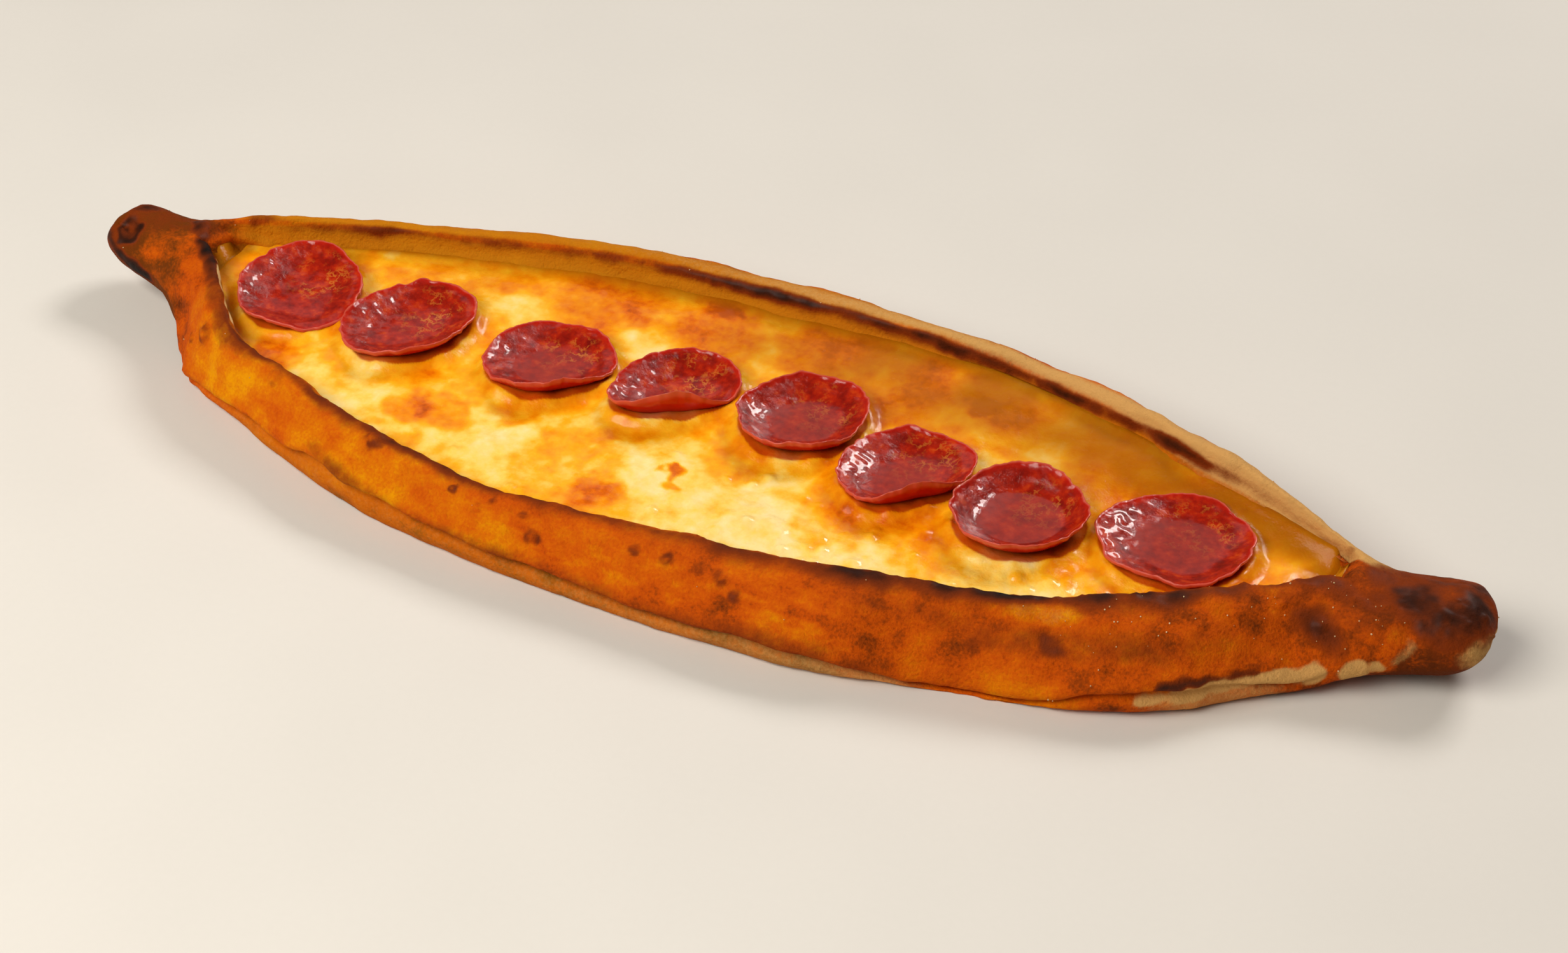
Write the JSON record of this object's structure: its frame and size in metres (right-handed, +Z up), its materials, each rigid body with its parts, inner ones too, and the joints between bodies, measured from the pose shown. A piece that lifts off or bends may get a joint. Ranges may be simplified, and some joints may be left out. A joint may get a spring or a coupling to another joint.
{
  "type": "turkish pide",
  "caption": "Long boat-shaped baked flatbread with rolled sides and pinched ends, filled with melted cheese and topped with a row of curled sucuk slices.",
  "frame": {"origin": "middle of the bounding box in plan, at the height of the flat underside", "axes": "+X along the boat from the knobbly left tip to the blunt right tip, +Y towards the side with the lower, paler rim, +Z up"},
  "size_m": [0.3764, 0.1266, 0.0247],
  "materials": {
    "baked_dough": "baked bread crust, dry, browned, charred along the crests and floured at the base",
    "melted_cheese": "melted and browned cheese with a film of oil",
    "sucuk": "cured sausage, glossy with its own fat"
  },
  "bodies": {
    "root": {"crust": "baked_dough", "cheese": "melted_cheese", "sucuk_1": "sucuk", "sucuk_2": "sucuk", "sucuk_3": "sucuk", "sucuk_4": "sucuk", "sucuk_5": "sucuk", "sucuk_6": "sucuk", "sucuk_7": "sucuk", "sucuk_8": "sucuk"}
  },
  "joints": []
}
